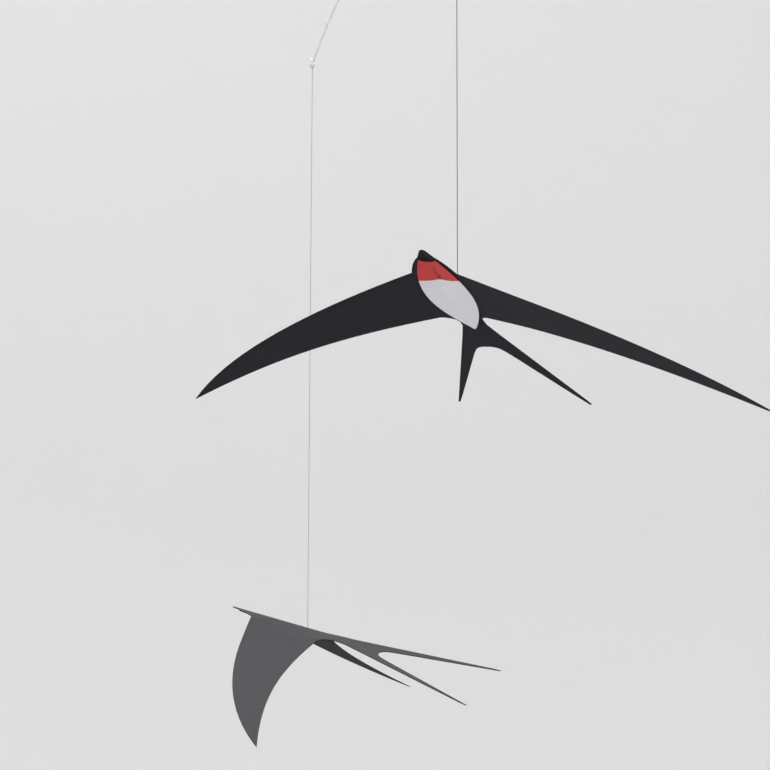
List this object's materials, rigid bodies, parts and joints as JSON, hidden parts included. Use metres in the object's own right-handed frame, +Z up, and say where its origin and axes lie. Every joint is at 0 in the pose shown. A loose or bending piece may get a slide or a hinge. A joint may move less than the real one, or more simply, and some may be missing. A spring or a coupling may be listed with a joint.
{
  "type": "hanging mobile sculpture",
  "caption": "Hanging mobile: forked-tailed swallows folded from black card, with a white breast and red throat, on threads from an arched wire arm.",
  "frame": {"origin": "centre of the eye bent in the middle of the arm, which the mobile hangs by", "axes": "+Z up out of the eye; the arm runs along Y, with the upper bird at -Y and the lower bird at +Y"},
  "size_m": [0.187, 0.4029, 0.3715],
  "materials": {
    "steel_wire": "bright drawn spring wire",
    "thread": "twisted grey sewing thread",
    "black_card": "matt black through-dyed card",
    "breast_card": "matt white card, printed red on the throat"
  },
  "bodies": {
    "root": {"arm_wire": "steel_wire", "upper_knot": "thread", "upper_thread": "thread", "upper_bird_card": "black_card", "upper_bird_breast": "breast_card", "lower_knot": "thread", "lower_thread": "thread", "lower_bird_card": "black_card", "lower_bird_breast": "breast_card"}
  },
  "joints": []
}
